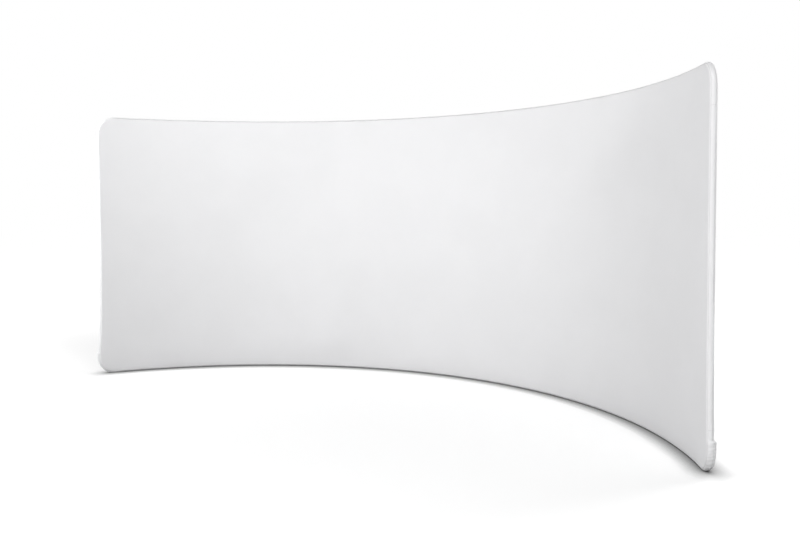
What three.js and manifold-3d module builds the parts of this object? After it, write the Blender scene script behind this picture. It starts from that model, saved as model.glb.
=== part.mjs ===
// A curved display backwall: a white stretch-fabric cover over a tube frame, standing on its own curve.
// Units are millimetres, +Z is up, the hollow side faces -Y, and the origin is the middle of the base.
// Everything is laid out on the unrolled wall (run along it, height, offset to the back) and then bent.
import * as THREE from 'three';
import { mergeVertices } from 'three/addons/utils/BufferGeometryUtils.js';
import Module from 'manifold-3d';

const wasm = await Module();
wasm.setup();

// ---- Driving dimensions ----
const HEIGHT = 2300; // overall height
const BEND_RADIUS = 2940; // plan radius, to the centreline of the frame
const WALL_RUN = 6500; // along the curve, between the centrelines of the end tubes
const CORNER_RADIUS = 136; // corner bends, to the tube's centreline
const ELBOW_LEG = 100; // straight leg at each end of a corner bend
const END_BOW = 14; // how far the cover's pull bows each end tube inwards
const BOW_SKEW = 0.6; // under 1, the bow is fullest below the middle
const END_SHARES = [0, 0.08, 0.5, 0.75, 1]; // where the end tubes' facets meet, as shares of their length
const END_JOINT = 2; // and which of these is the joint between the two tubes
const RAIL_SECTIONS = 4; // tubes that make up each rail
const FACETS_PER_SECTION = 6; // straight facets that stand for one section's curve
const CORNER_STEPS = 5; // facets in a corner bend
const TUBE_SIDES = 12;

const FRAME_TUBE = { outer: 20, wall: 2 }; // rails, corner bends and end tubes
const SUPPORT_TUBE = { outer: 16, wall: 2 }; // uprights inside the cover
const PLUG_CLEARANCE = 0.4; // between a necked tube end and the bore that takes it
const PLUG_LENGTH = 60;
const NECK_LENGTH = 4; // where the bore steps down to the necked end
const END_GAP = 0.3; // between the faces of two plugged tubes

const CLOTH = 0.8; // thickness of the cover
const CLOTH_GAP = 0.3; // between the cover and the tubes
const SEAM_GAP = 0.4; // between two pieces of cloth where they are sewn together
const BASE_FLAT = 0.3; // how far the cover's underside is pressed flat by the floor
const FRONT_SWELL = 46; // the front panel stands this far forward of the curve at mid-height
const BACK_DRAW = 24; // the back panel is drawn in this far between the uprights
const BACK_DRAW_AT_SUPPORT = 3.8; // and this far where it lies on an upright
const DRAW_MARGIN = 100; // the back panel is straight this far from the top and bottom
const DRAW_EASE = 0.25; // the share of the half run over which that draw fades out at each end
// How the cloth wraps the tubes, in degrees from the front face over the edge to the back face.
const FRONT_SEAM = 44; // where the front panel meets the edge band
const BACK_SEAM = 120; // where the edge band meets the back panel
const FRONT_TURNS = [30]; // the front panel's facet between its face and its seam
const BAND_TURNS = [60, 81, 90, 99]; // the band's facets; it lies flat on the floor from 81 to 99
const BACK_TURNS = [150]; // the back panel's facet between its face and its seam

const SUPPORT_SHARE = 1 / 3; // uprights stand this share of the half run from the middle
const TEE_HEIGHT = 14; // collar of a tee between the rail and its upright
const TEE_STUB = 60; // length of the tee inside its upright
const TEE_PEG = 6; // radius of the peg that sits in the rail
const TEE_PEG_CLEARANCE = 0.4;
const TEE_PEG_END = 8; // the peg ends this far from the rail's centreline

const BUTTON_RADIUS = 4;
const BUTTON_CLEARANCE = 0.3;
const BUTTON_PROUD = 2; // stands out of the tube by this much
const BUTTON_INSET = 30; // from the tube's end face
const BUTTON_CROWN = 1; // height of the rounded edge
const BUTTON_SIDES = 10;
const SPRING_STRIP = { length: 34, width: 7, thick: 0.8, drop: 1.4 };

const ZIP_HEIGHT = 50; // centre of the zip above the floor, on the back panel
const ZIP_SLOT = 12; // opening in the back panel that the zip closes
const ZIP_CHAIN = { width: 4, proud: 0.7 };
const ZIP_GAP = 0.3;
const ZIP_STOP = { length: 5, proud: 3 }; // at each end of the chain
const SLIDER = { length: 14, width: 10, thick: 2.5, lug: 1.2, lugLength: 5 };
const PULL_PIN = 1.2; // radius of the slider's cross pin
const PULL_EYE = 2.6;
const PULL_EYE_LIFT = 3; // height of the pin over the slider's plate
const PULL_CLEARANCE = 0.3;
const PULL = { length: 28, width: 6.8, thick: 1.6 };

// ---- Sizes that follow ----
const COVER_OUTER = FRAME_TUBE.outer + CLOTH_GAP + CLOTH;
const COVER_INNER = FRAME_TUBE.outer + CLOTH_GAP;
const SEAM_TURN = THREE.MathUtils.radToDeg(SEAM_GAP / 2 / COVER_OUTER); // half the gap, as a turn
const FRONT_WRAP = [0, ...FRONT_TURNS, FRONT_SEAM - SEAM_TURN];
const BAND_WRAP = [FRONT_SEAM + SEAM_TURN, ...BAND_TURNS, BACK_SEAM - SEAM_TURN];
const BACK_WRAP = [180, ...BACK_TURNS, BACK_SEAM + SEAM_TURN];
const LOW = COVER_OUTER - BASE_FLAT; // height of the bottom rail's centreline
const HIGH = HEIGHT - COVER_OUTER; // height of the top rail's centreline
const HALF_RUN = WALL_RUN / 2;
const STRAIGHT_RUN = HALF_RUN - CORNER_RADIUS; // where a corner bend starts
const RAIL_RUN = STRAIGHT_RUN - ELBOW_LEG; // where the rails plug into the elbows
const SECTION = (2 * RAIL_RUN) / RAIL_SECTIONS;
const LEG_LOW = LOW + CORNER_RADIUS + ELBOW_LEG; // where the end tubes plug into the elbows
const LEG_HIGH = HIGH - CORNER_RADIUS - ELBOW_LEG;
const END_ROWS = END_SHARES.map((t) => LEG_LOW + t * (LEG_HIGH - LEG_LOW));
const END_BOWS = END_SHARES.map((t) => END_BOW * Math.sin(Math.PI * t ** BOW_SKEW));
const MID_HEIGHT = END_ROWS[END_JOINT];
const SUPPORT_AT = HALF_RUN * SUPPORT_SHARE;
const HALF_ANGLE = HALF_RUN / BEND_RADIUS;
const CENTRE_Y = -(BEND_RADIUS * (1 + Math.cos(HALF_ANGLE)) + ZIP_CHAIN.proud) / 2; // centre of the curve
const ZIP_RUN = RAIL_RUN - ZIP_GAP; // the zip's ends
const CHAIN_RUN = ZIP_RUN - ZIP_STOP.length - ZIP_GAP; // the ends of its chain
const QUARTER = Math.PI / 2;

// ---- Materials ----
const FINISHES = {
  cloth: { color: 0xf2f2f2, roughness: 0.85, metalness: 0 },
  tube: { color: 0xb8babd, roughness: 0.35, metalness: 1 },
  plastic: { color: 0x1c1c1e, roughness: 0.6, metalness: 0 },
  steel: { color: 0xc9c9c9, roughness: 0.3, metalness: 1 },
  zip: { color: 0xe9e9e9, roughness: 0.6, metalness: 0 },
};

// ---- Bending the unrolled wall ----
const range = (n) => Array.from({ length: n }, (_, i) => i);
const cornerAngles = range(CORNER_STEPS + 1).map((i) => (i * QUARTER) / CORNER_STEPS);
const railStations = range(RAIL_SECTIONS * FACETS_PER_SECTION + 1).map(
  (i) => -RAIL_RUN + (i * SECTION) / FACETS_PER_SECTION,
);
const cornerStations = cornerAngles.map((a) => STRAIGHT_RUN + CORNER_RADIUS * Math.sin(a));
const STATIONS = [...cornerStations.map((s) => -s).reverse(), ...railStations, ...cornerStations];

function planPoint(run, offset) {
  const a = run / BEND_RADIUS;
  const r = BEND_RADIUS + offset;
  return new THREE.Vector2(r * Math.sin(a), CENTRE_Y + r * Math.cos(a));
}

// The facet that a run falls on; past the last station, the last facet goes straight on.
function facetOf(run) {
  const i = STATIONS.findIndex((s) => s > run);
  const hi = i < 0 ? STATIONS.length - 1 : Math.max(i, 1);
  return [STATIONS[hi - 1], STATIONS[hi]];
}

function bendPoint(run, height, offset) {
  const [a, b] = facetOf(run);
  const p = planPoint(a, offset).lerp(planPoint(b, offset), (run - a) / (b - a));
  return new THREE.Vector3(p.x, p.y, height);
}

// How far past the straight part of the rails a run is, from 0 to the corner's radius.
const pastStraight = (run) => THREE.MathUtils.clamp(Math.abs(run) - STRAIGHT_RUN, 0, CORNER_RADIUS);

// The end tubes bow inwards between the elbows; the cover follows them, and the rails stay straight.
function bowAt(run, height) {
  const k = END_ROWS.findIndex((z) => z > height);
  if (k < 1) return 0;
  const t = (height - END_ROWS[k - 1]) / (END_ROWS[k] - END_ROWS[k - 1]);
  const bow = THREE.MathUtils.lerp(END_BOWS[k - 1], END_BOWS[k], t);
  return (-Math.sign(run) * bow * pastStraight(run)) / CORNER_RADIUS;
}

// A frame standing on the bent wall: X along it, Y to the back, Z up.
function placeAt(run, height, offset = 0) {
  const [a, b] = facetOf(run);
  const along = planPoint(b, 0).sub(planPoint(a, 0));
  const angle = Math.atan2(along.y, along.x);
  return new THREE.Matrix4()
    .makeRotationZ(angle)
    .setPosition(bendPoint(run + bowAt(run, height), height, offset));
}

// ---- Solids ----
function toSolid(geometry, matrix = new THREE.Matrix4()) {
  const g = geometry.clone().applyMatrix4(matrix);
  g.deleteAttribute('normal');
  g.deleteAttribute('uv');
  const merged = mergeVertices(g, 1e-3);
  return new wasm.Manifold(
    new wasm.Mesh({
      numProp: 3,
      vertProperties: merged.attributes.position.array,
      triVerts: new Uint32Array(merged.index.array),
    }),
  );
}

function toGeometry(solid) {
  const m = solid.getMesh();
  const g = new THREE.BufferGeometry();
  g.setAttribute('position', new THREE.BufferAttribute(new Float32Array(m.vertProperties), 3));
  g.setIndex(new THREE.BufferAttribute(new Uint32Array(m.triVerts), 1));
  g.computeVertexNormals();
  return g;
}

const box = (x, y, z, cx = 0, cy = 0, cz = 0) => new THREE.BoxGeometry(x, y, z).translate(cx, cy, cz);

// A cylinder from z0 to z1 with a corner of its outline on the X axis.
function rod(radius, z0, z1, sides = TUBE_SIDES) {
  return new THREE.CylinderGeometry(radius, radius, z1 - z0, sides)
    .rotateX(QUARTER)
    .translate(0, 0, (z0 + z1) / 2);
}

// ---- Tubes ----
// A tube's bore, and its necked end that plugs into the next tube's bore.
function tubeSizes({ outer, wall }) {
  const bore = outer - wall;
  const plug = bore - PLUG_CLEARANCE;
  return { outer, bore, plug, plugBore: plug - wall };
}

// The tube's section as (distance, radius), from first to last stop, necked at the ends that plug in.
function tubeProfile(tube, stops, plugStart, plugEnd) {
  const { outer, bore, plug, plugBore } = tubeSizes(tube);
  const first = stops[0];
  const last = stops[stops.length - 1];
  const between = stops.slice(1, -1);
  const points = stops.map((d) => [d, outer]);
  if (plugEnd) {
    points.push([last, plug], [last + PLUG_LENGTH, plug], [last + PLUG_LENGTH, plugBore]);
    points.push([last - NECK_LENGTH, plugBore], [last - NECK_LENGTH, bore]);
  } else points.push([last, bore]);
  points.push(...between.reverse().map((d) => [d, bore]));
  if (plugStart) {
    points.push([first + NECK_LENGTH, bore], [first + NECK_LENGTH, plugBore]);
    points.push([first - PLUG_LENGTH, plugBore], [first - PLUG_LENGTH, plug], [first, plug]);
  } else points.push([first, bore]);
  return [...points, points[0]];
}

// Turns the profile round its axis, then lays that axis along a path on the unrolled wall and bends it.
// path(d) gives { run, height, dRun, dHeight }: a point and the direction there.
function sweepTube(profile, path) {
  const lathe = new THREE.LatheGeometry(
    profile.map(([d, r]) => new THREE.Vector2(r, d)),
    TUBE_SIDES,
  );
  const p = lathe.attributes.position;
  for (let i = 0; i < p.count; i++) {
    const at = path(p.getY(i));
    const across = p.getX(i);
    const run = at.run - across * at.dHeight;
    const height = at.height + across * at.dRun;
    const bent = bendPoint(run + bowAt(at.run, at.height), height, p.getZ(i));
    p.setXYZ(i, bent.x, bent.y, bent.z);
  }
  return facingOut(lathe);
}

function facingOut(geometry) {
  const index = geometry.index.array;
  const flip = toSolid(geometry).volume() < 0;
  if (flip) for (let i = 0; i < index.length; i += 3) [index[i], index[i + 1]] = [index[i + 1], index[i]];
  return geometry;
}

const alongRail = (height) => (d) => ({ run: d, height, dRun: 1, dHeight: 0 });
const upTube = (run) => (d) => ({ run, height: d, dRun: 0, dHeight: 1 });

// The corner bend's path: in along the horizontal leg, round the corner, and out along the vertical leg.
// side is -1 for the left corner and 1 for the right, level is -1 for the bottom and 1 for the top.
function elbowPath(side, level) {
  const arc = CORNER_RADIUS * QUARTER;
  const railHeight = level < 0 ? LOW : HIGH;
  return (d) => {
    if (d <= 0) return { run: side * (STRAIGHT_RUN + d), height: railHeight, dRun: side, dHeight: 0 };
    const a = Math.min(d, arc) / CORNER_RADIUS;
    const beyond = Math.max(0, d - arc);
    return {
      run: side * (STRAIGHT_RUN + CORNER_RADIUS * Math.sin(a)),
      height: railHeight - level * (CORNER_RADIUS * (1 - Math.cos(a)) + beyond),
      dRun: side * Math.cos(a),
      dHeight: -level * Math.sin(a),
    };
  };
}

function elbow(side, level, plugIntoRail, plugIntoUpright) {
  const arcStops = cornerAngles.map((a) => a * CORNER_RADIUS);
  const legGap = (plugs) => (plugs ? 0 : END_GAP);
  const stops = [
    -ELBOW_LEG + legGap(plugIntoRail),
    ...arcStops,
    CORNER_RADIUS * QUARTER + ELBOW_LEG - legGap(plugIntoUpright),
  ];
  return sweepTube(tubeProfile(FRAME_TUBE, stops, plugIntoRail, plugIntoUpright), elbowPath(side, level));
}

// ---- Snap buttons ----
// Drawn with the tube's axis at the origin, along X, and the button pointing along +Z. The spring strip
// runs from the button along +X or -X.
function snapButton(tube, stripWay) {
  const { outer, plugBore } = tubeSizes(tube);
  const top = outer + BUTTON_PROUD;
  const strip = plugBore - SPRING_STRIP.drop;
  const r = BUTTON_RADIUS;
  const profile = [
    [0, strip - SPRING_STRIP.thick],
    [r, strip - SPRING_STRIP.thick],
    [r, top - BUTTON_CROWN],
    [r - BUTTON_CROWN, top],
    [0, top],
  ].map(([x, y]) => new THREE.Vector2(x, y));
  const head = new THREE.LatheGeometry(profile, BUTTON_SIDES).rotateX(QUARTER);
  const leaf = box(
    SPRING_STRIP.length,
    SPRING_STRIP.width,
    SPRING_STRIP.thick,
    (stripWay * SPRING_STRIP.length) / 2,
    0,
    strip - SPRING_STRIP.thick / 2,
  );
  return toSolid(head).add(toSolid(leaf));
}

function buttonHole(tube) {
  const { outer, plugBore } = tubeSizes(tube);
  const strip = plugBore - SPRING_STRIP.drop;
  return rod(BUTTON_RADIUS + BUTTON_CLEARANCE, strip, outer + BUTTON_PROUD, BUTTON_SIDES);
}

// ---- The cover ----
// Cloth as a grid of cells with a thickness. face(i, j, side) is the point on the outer (side 1) or
// inner (side 0) surface, isHole(i, j) says which cells are open, and isFold(i, j) which have no size.
function clothSolid(columns, rows, face, isHole = () => false, isFold = () => false) {
  const points = [];
  const index = [];
  const id = (i, j, side) => (i * (rows + 1) + j) * 2 + side;
  const quad = (a, b, c, d) => index.push(a, b, c, a, c, d);
  const innerQuad = (a, b, c, d) => quad(a, d, c, b); // faces the other way, split along the same diagonal
  const isOpen = (i, j) => i < 0 || j < 0 || i >= columns || j >= rows || isHole(i, j);
  for (let i = 0; i <= columns; i++) {
    for (let j = 0; j <= rows; j++) points.push(face(i, j, 0), face(i, j, 1));
  }
  for (let i = 0; i < columns; i++) {
    for (let j = 0; j < rows; j++) {
      if (isHole(i, j) || isFold(i, j)) continue;
      const ring = [[i, j], [i + 1, j], [i + 1, j + 1], [i, j + 1]];
      const beyond = [[i, j - 1], [i + 1, j], [i, j + 1], [i - 1, j]];
      quad(...ring.map(([a, b]) => id(a, b, 1)));
      innerQuad(...ring.map(([a, b]) => id(a, b, 0)));
      beyond.forEach(([a, b], k) => {
        const from = ring[k];
        const to = ring[(k + 1) % 4];
        if (isOpen(a, b)) quad(id(...from, 0), id(...to, 0), id(...to, 1), id(...from, 1));
      });
    }
  }
  const g = new THREE.BufferGeometry().setFromPoints(points);
  g.setIndex(index);
  return facingOut(mergeVertices(g, 1e-4));
}

// The front swells forward between the rails, as a cloth pulled along a hollow curve does.
function frontOffset(run, height) {
  const u = Math.min(1, Math.abs(run) / HALF_RUN);
  const v = (2 * height - HIGH - LOW) / (HIGH - LOW);
  return -FRONT_SWELL * (1 - u ** 4) * (1 - v * v);
}

// The back is drawn in between the uprights, and lies on each one.
function backOffset(run, height) {
  const v = (height - DRAW_MARGIN) / (HEIGHT - 2 * DRAW_MARGIN);
  if (v <= 0 || v >= 1) return 0;
  const u = Math.min(1, Math.abs(run) / HALF_RUN);
  const bay = Math.abs(run) < SUPPORT_AT ? Math.cos((QUARTER * run) / SUPPORT_AT) : 0;
  const outerBay = (Math.abs(run) - SUPPORT_AT) / (HALF_RUN - SUPPORT_AT);
  const wing = outerBay > 0 ? Math.sin(Math.PI * Math.min(1, outerBay)) : 0;
  const atSupport = BACK_DRAW_AT_SUPPORT * Math.min(1, (1 - u) / DRAW_EASE);
  const fullness = 4 * v * (1 - v); // 1 at mid-height, 0 at the margins
  return -fullness * (atSupport + BACK_DRAW * Math.max(bay, wing) ** 2);
}

// The corner bends lift the edge of the frame by this much at a run.
function cornerLift(run) {
  return CORNER_RADIUS - Math.sqrt(CORNER_RADIUS ** 2 - pastStraight(run) ** 2);
}

// The height of a panel's row at a run: the rows near the edges close up over the corner bends.
function rowHeight(level, run) {
  const lift = cornerLift(run);
  if (level < LEG_LOW) return level + (lift * (LEG_LOW - level)) / (LEG_LOW - LOW);
  if (level > LEG_HIGH) return level - (lift * (level - LEG_HIGH)) / (HIGH - LEG_HIGH);
  return level;
}

// A point of the cloth round the frame's edge. The turn is in degrees, from 0 on the front face, over
// 90 at the outermost line of the edge, to 180 on the back face. The way out of the frame's loop goes
// from straight up or down to sideways over a corner bend.
function wrapPoint(run, level, turn, radius, drawn = 0) {
  const isEnd = level > LOW && level < HIGH;
  const lean = isEnd ? QUARTER : Math.asin(pastStraight(run) / CORNER_RADIUS);
  const angle = THREE.MathUtils.degToRad(turn);
  const out = radius * Math.sin(angle);
  const upOrDown = level > LOW ? 1 : -1;
  const base = rowHeight(level, run);
  const height = base + upOrDown * out * Math.cos(lean);
  const side = run + bowAt(run, base) + Math.sign(run) * out * Math.sin(lean);
  return bendPoint(side, Math.max(0, height), drawn - radius * Math.cos(angle));
}

// A panel covers the front or the back face, and wraps the tubes as far as its seam.
function coverPanel(back) {
  const turns = back ? BACK_WRAP : FRONT_WRAP;
  const draw = back ? backOffset : frontOffset;
  const runs = [...STATIONS, -SUPPORT_AT, SUPPORT_AT].sort((a, b) => a - b);
  const slot = back ? [ZIP_HEIGHT - ZIP_SLOT / 2, ZIP_HEIGHT + ZIP_SLOT / 2] : [];
  const levels = [LOW, ...slot, ...END_ROWS, HIGH];
  const wrap = turns.length - 1;
  const faceColumns = runs.length - 1;
  const faceRows = levels.length - 1;

  const point = (i, j, side) => {
    const ci = THREE.MathUtils.clamp(i - wrap, 0, faceColumns);
    const cj = THREE.MathUtils.clamp(j - wrap, 0, faceRows);
    const step = Math.max(Math.abs(i - wrap - ci), Math.abs(j - wrap - cj));
    const [run, level] = [runs[ci], levels[cj]];
    const drawn = step ? 0 : draw(run, rowHeight(level, run));
    return wrapPoint(run, level, turns[step], side ? COVER_OUTER : COVER_INNER, drawn);
  };
  const offSide = (i) => i < wrap || i >= wrap + faceColumns;
  const offLevel = (j) => j < wrap || j >= wrap + faceRows;
  const isFold = (i, j) => offSide(i) && offLevel(j);
  const inRails = (i) => !offSide(i) && Math.abs(runs[i - wrap] + runs[i - wrap + 1]) < 2 * RAIL_RUN;
  const isSlot = (i, j) => back && j === wrap + 1 && inRails(i);
  return clothSolid(faceColumns + 2 * wrap, faceRows + 2 * wrap, point, isSlot, isFold);
}

// A strip of the edge band, through places given as [run, level].
function edgeBand(places) {
  const point = (i, j, side) => wrapPoint(...places[i], BAND_WRAP[j], side ? COVER_OUTER : COVER_INNER);
  return clothSolid(places.length - 1, BAND_WRAP.length - 1, point);
}

// A strip of the zip between two heights, following the rails.
function zipStrip(z0, z1, inner, outer, run0, run1) {
  const stops = [run0, ...STATIONS.filter((s) => s > run0 && s < run1), run1];
  const point = (i, j, side) => bendPoint(stops[i], j ? z1 : z0, side ? outer : inner);
  return clothSolid(stops.length - 1, 1, point);
}

// ---- Tees ----
// A tee sits on a rail, with its peg through the rail's wall, and its stub carries an upright. The
// rail's centreline is the X axis and the upright's is +Z.
function tee() {
  const { bore } = tubeSizes(SUPPORT_TUBE);
  const collarTop = FRAME_TUBE.outer + TEE_HEIGHT;
  const collar = toSolid(rod(SUPPORT_TUBE.outer, TEE_PEG_END, collarTop));
  const stub = toSolid(rod(bore - PLUG_CLEARANCE, TEE_PEG_END, collarTop + TEE_STUB));
  const rail = toSolid(rod(COVER_INNER, -HEIGHT, HEIGHT).rotateY(QUARTER));
  const peg = toSolid(rod(TEE_PEG, TEE_PEG_END, collarTop));
  return collar.add(stub).subtract(rail).add(peg);
}

// ---- Assembly ----
const wall = new THREE.Group();
const solids = new Map(); // tubes, before their holes are cut
const joints = []; // where one tube plugs into the next

function addMesh(name, geometry, finish) {
  const mesh = new THREE.Mesh(geometry, new THREE.MeshStandardMaterial(finish));
  mesh.name = name;
  wall.add(mesh);
}

const addTube = (name, geometry) => solids.set(name, toSolid(geometry));
const cutTube = (name, cutter) => solids.set(name, solids.get(name).subtract(cutter));
const moved = (solid, matrix) => solid.transform(matrix.elements);

const SIDES = [['left', -1], ['right', 1]];
const LEVELS = [['bottom', LOW, -1], ['top', HIGH, 1]];

function addRails() {
  for (const [level, height] of LEVELS) {
    const names = range(RAIL_SECTIONS).map((k) => `${level}_rail_${k + 1}`);
    names.forEach((name, k) => {
      const start = -RAIL_RUN + k * SECTION;
      const stops = range(FACETS_PER_SECTION + 1).map((i) => start + (i * SECTION) / FACETS_PER_SECTION);
      stops[0] += END_GAP;
      addTube(name, sweepTube(tubeProfile(FRAME_TUBE, stops, false, true), alongRail(height)));
    });
    const chain = [`${level}_left_corner_bend`, ...names, `${level}_right_corner_bend`];
    range(RAIL_SECTIONS + 1).forEach((k) => {
      const run = -RAIL_RUN + k * SECTION + BUTTON_INSET;
      const button = `snap_button_${level}_${k + 1}`;
      joints.push({ button, inner: chain[k], outer: chain[k + 1], run, height, tube: FRAME_TUBE });
    });
  }
}

function addCorners() {
  for (const [level, , up] of LEVELS) {
    for (const [side, way] of SIDES) {
      addTube(`${level}_${side}_corner_bend`, elbow(way, up, way < 0, up < 0));
    }
  }
}

function addEndTubes() {
  for (const [side, way] of SIDES) {
    const spans = { lower: END_ROWS.slice(0, END_JOINT + 1), upper: END_ROWS.slice(END_JOINT) };
    for (const [part, [start, ...rest]] of Object.entries(spans)) {
      const profile = tubeProfile(FRAME_TUBE, [start + END_GAP, ...rest], false, true);
      addTube(`${side}_end_tube_${part}`, sweepTube(profile, upTube(way * HALF_RUN)));
    }
    const chain = [
      `bottom_${side}_corner_bend`,
      `${side}_end_tube_lower`,
      `${side}_end_tube_upper`,
      `top_${side}_corner_bend`,
    ];
    [LEG_LOW, MID_HEIGHT, LEG_HIGH].forEach((z, k) => {
      const button = `snap_button_${side}_end_${k + 1}`;
      const place = { run: way * HALF_RUN, height: z + BUTTON_INSET, facing: -way, tube: FRAME_TUBE };
      joints.push({ button, inner: chain[k], outer: chain[k + 1], ...place });
    });
  }
}

function addSupports() {
  const foot = FRAME_TUBE.outer + TEE_HEIGHT + END_GAP;
  for (const [side, way] of SIDES) {
    const run = way * SUPPORT_AT;
    const lower = `${side}_upright_lower`;
    const upper = `${side}_upright_upper`;
    const lowerProfile = tubeProfile(SUPPORT_TUBE, [LOW + foot, MID_HEIGHT], false, true);
    const upperProfile = tubeProfile(SUPPORT_TUBE, [MID_HEIGHT + END_GAP, HIGH - foot], false, false);
    addTube(lower, sweepTube(lowerProfile, upTube(run)));
    addTube(upper, sweepTube(upperProfile, upTube(run)));
    const place = { run, height: MID_HEIGHT + BUTTON_INSET, facing: -way, tube: SUPPORT_TUBE };
    joints.push({ button: `snap_button_${side}_upright`, inner: lower, outer: upper, ...place });
    for (const [level, height, up] of LEVELS) addTee(`${level}_${side}_tee`, level, run, height, up);
  }
}

// A tee stands on the bottom rail, or hangs turned over from the top rail.
function addTee(name, level, run, height, up) {
  const place = placeAt(run, height);
  if (up > 0) place.multiply(new THREE.Matrix4().makeRotationX(Math.PI));
  addMesh(name, toGeometry(moved(tee(), place)), FINISHES.plastic);
  const section = Math.floor((run + RAIL_RUN) / SECTION) + 1;
  const pegHole = rod(TEE_PEG + TEE_PEG_CLEARANCE, TEE_PEG_END, COVER_OUTER);
  cutTube(`${level}_rail_${section}`, toSolid(pegHole, place));
}

// Each joint's button stands inside the frame's loop, so the cover lies smooth over the tubes, and its
// spring strip runs on into the necked end that carries it.
function addButtons() {
  for (const { button, inner, outer, run, height, facing, tube } of joints) {
    const place = placeAt(run, height);
    if (facing) place.multiply(new THREE.Matrix4().makeRotationY(facing * QUARTER));
    else if (height === HIGH) place.multiply(new THREE.Matrix4().makeRotationX(Math.PI));
    const hole = toSolid(buttonHole(tube), place);
    cutTube(inner, hole);
    cutTube(outer, hole);
    const stripWay = facing < 0 ? 1 : -1;
    addMesh(button, toGeometry(moved(snapButton(tube, stripWay), place)), FINISHES.steel);
  }
}

// Front and back panels, and an edge band in four strips: the top and bottom ones turn the corners and
// meet the end ones where the corner bends end.
function addCover() {
  addMesh('front_cover', coverPanel(false), FINISHES.cloth);
  addMesh('back_cover', coverPanel(true), FINISHES.cloth);
  for (const [level, height, up] of LEVELS) {
    const cornerEnd = up > 0 ? LEG_HIGH + SEAM_GAP / 2 : LEG_LOW - SEAM_GAP / 2;
    const along = STATIONS.map((run) => [run, height]);
    const places = [[-HALF_RUN, cornerEnd], ...along, [HALF_RUN, cornerEnd]];
    addMesh(`${level}_edge_band`, edgeBand(places), FINISHES.cloth);
  }
  const [, ...between] = END_ROWS.slice(0, -1);
  const rows = [LEG_LOW + SEAM_GAP / 2, ...between, LEG_HIGH - SEAM_GAP / 2];
  for (const [side, way] of SIDES) {
    addMesh(`${side}_edge_band`, edgeBand(rows.map((z) => [way * HALF_RUN, z])), FINISHES.cloth);
  }
}

function addZip() {
  const half = ZIP_CHAIN.width / 2;
  const toothless = half + ZIP_GAP; // the tapes' edges, from the middle of the chain
  const low = ZIP_HEIGHT - ZIP_SLOT / 2 + ZIP_GAP;
  const high = ZIP_HEIGHT + ZIP_SLOT / 2 - ZIP_GAP;
  const tapes = [['lower', low, ZIP_HEIGHT - toothless], ['upper', ZIP_HEIGHT + toothless, high]];
  for (const [part, z0, z1] of tapes) {
    const tape = zipStrip(z0, z1, COVER_INNER, COVER_OUTER, -ZIP_RUN, ZIP_RUN);
    addMesh(`zip_tape_${part}`, tape, FINISHES.cloth);
  }
  const strip = (proud, run0, run1) =>
    zipStrip(ZIP_HEIGHT - half, ZIP_HEIGHT + half, COVER_INNER, COVER_OUTER + proud, run0, run1);
  addMesh('zip_chain', strip(ZIP_CHAIN.proud, -CHAIN_RUN, CHAIN_RUN), FINISHES.zip);
  addMesh('zip_stop_left', strip(ZIP_STOP.proud, -ZIP_RUN, -ZIP_RUN + ZIP_STOP.length), FINISHES.steel);
  addMesh('zip_stop_right', strip(ZIP_STOP.proud, ZIP_RUN - ZIP_STOP.length, ZIP_RUN), FINISHES.steel);
}

// The slider rides on the outside of the chain, against the right stop when the cover is closed. Its
// pull hangs on a cross pin between two lugs. Here +X is along the wall and +Y is to the back.
function addSlider() {
  const run = CHAIN_RUN - SLIDER.length / 2;
  const surface = COVER_OUTER + ZIP_CHAIN.proud + ZIP_GAP;
  const at = planPoint(run, surface);
  const place = new THREE.Matrix4().makeRotationZ(-run / BEND_RADIUS).setPosition(at.x, at.y, ZIP_HEIGHT);
  const pinAt = SLIDER.thick + PULL_EYE_LIFT;
  const lugHeight = pinAt + PULL_PIN;
  const lugZ = (SLIDER.width - SLIDER.lug) / 2;
  const pin = toSolid(rod(PULL_PIN, -lugZ, lugZ).translate(0, pinAt, 0));
  let slider = toSolid(box(SLIDER.length, SLIDER.thick, SLIDER.width, 0, SLIDER.thick / 2, 0)).add(pin);
  for (const z of [-lugZ, lugZ]) {
    slider = slider.add(toSolid(box(SLIDER.lugLength, lugHeight, SLIDER.lug, 0, lugHeight / 2, z)));
  }
  addMesh('zip_slider', toGeometry(moved(slider, place)), FINISHES.steel);

  const half = PULL.width / 2;
  const eye = toSolid(rod(PULL_EYE, -half, half));
  const tab = toSolid(box(PULL.length, PULL.thick, PULL.width, -PULL.length / 2, 0, 0));
  const grip = toSolid(rod(PULL.thick, -half, half).translate(-PULL.length, 0, 0));
  const pinHole = toSolid(rod(PULL_PIN + PULL_CLEARANCE, -PULL.width, PULL.width));
  const pull = eye.add(tab).add(grip).subtract(pinHole);
  const pinPlace = place.clone().multiply(new THREE.Matrix4().makeTranslation(0, pinAt, 0));
  addMesh('zip_pull', toGeometry(moved(pull, pinPlace)), FINISHES.steel);
}

addCorners();
addRails();
addEndTubes();
addSupports();
addButtons();
for (const [name, solid] of solids) addMesh(name, toGeometry(solid), FINISHES.tube);
addCover();
addZip();
addSlider();

export default wall;
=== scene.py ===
"""A curved display backwall in white stretch fabric: the cloth, its zip, its finishes, light and camera.

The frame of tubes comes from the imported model. The cloth is laid out on the unrolled wall, as (run, height,
offset to the back), and bent onto the curve. Lengths are in metres and a place's turn round the edge of the
frame is in degrees: 0 on the front face, 90 on the outermost line, 180 on the back face.
"""

import math

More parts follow.
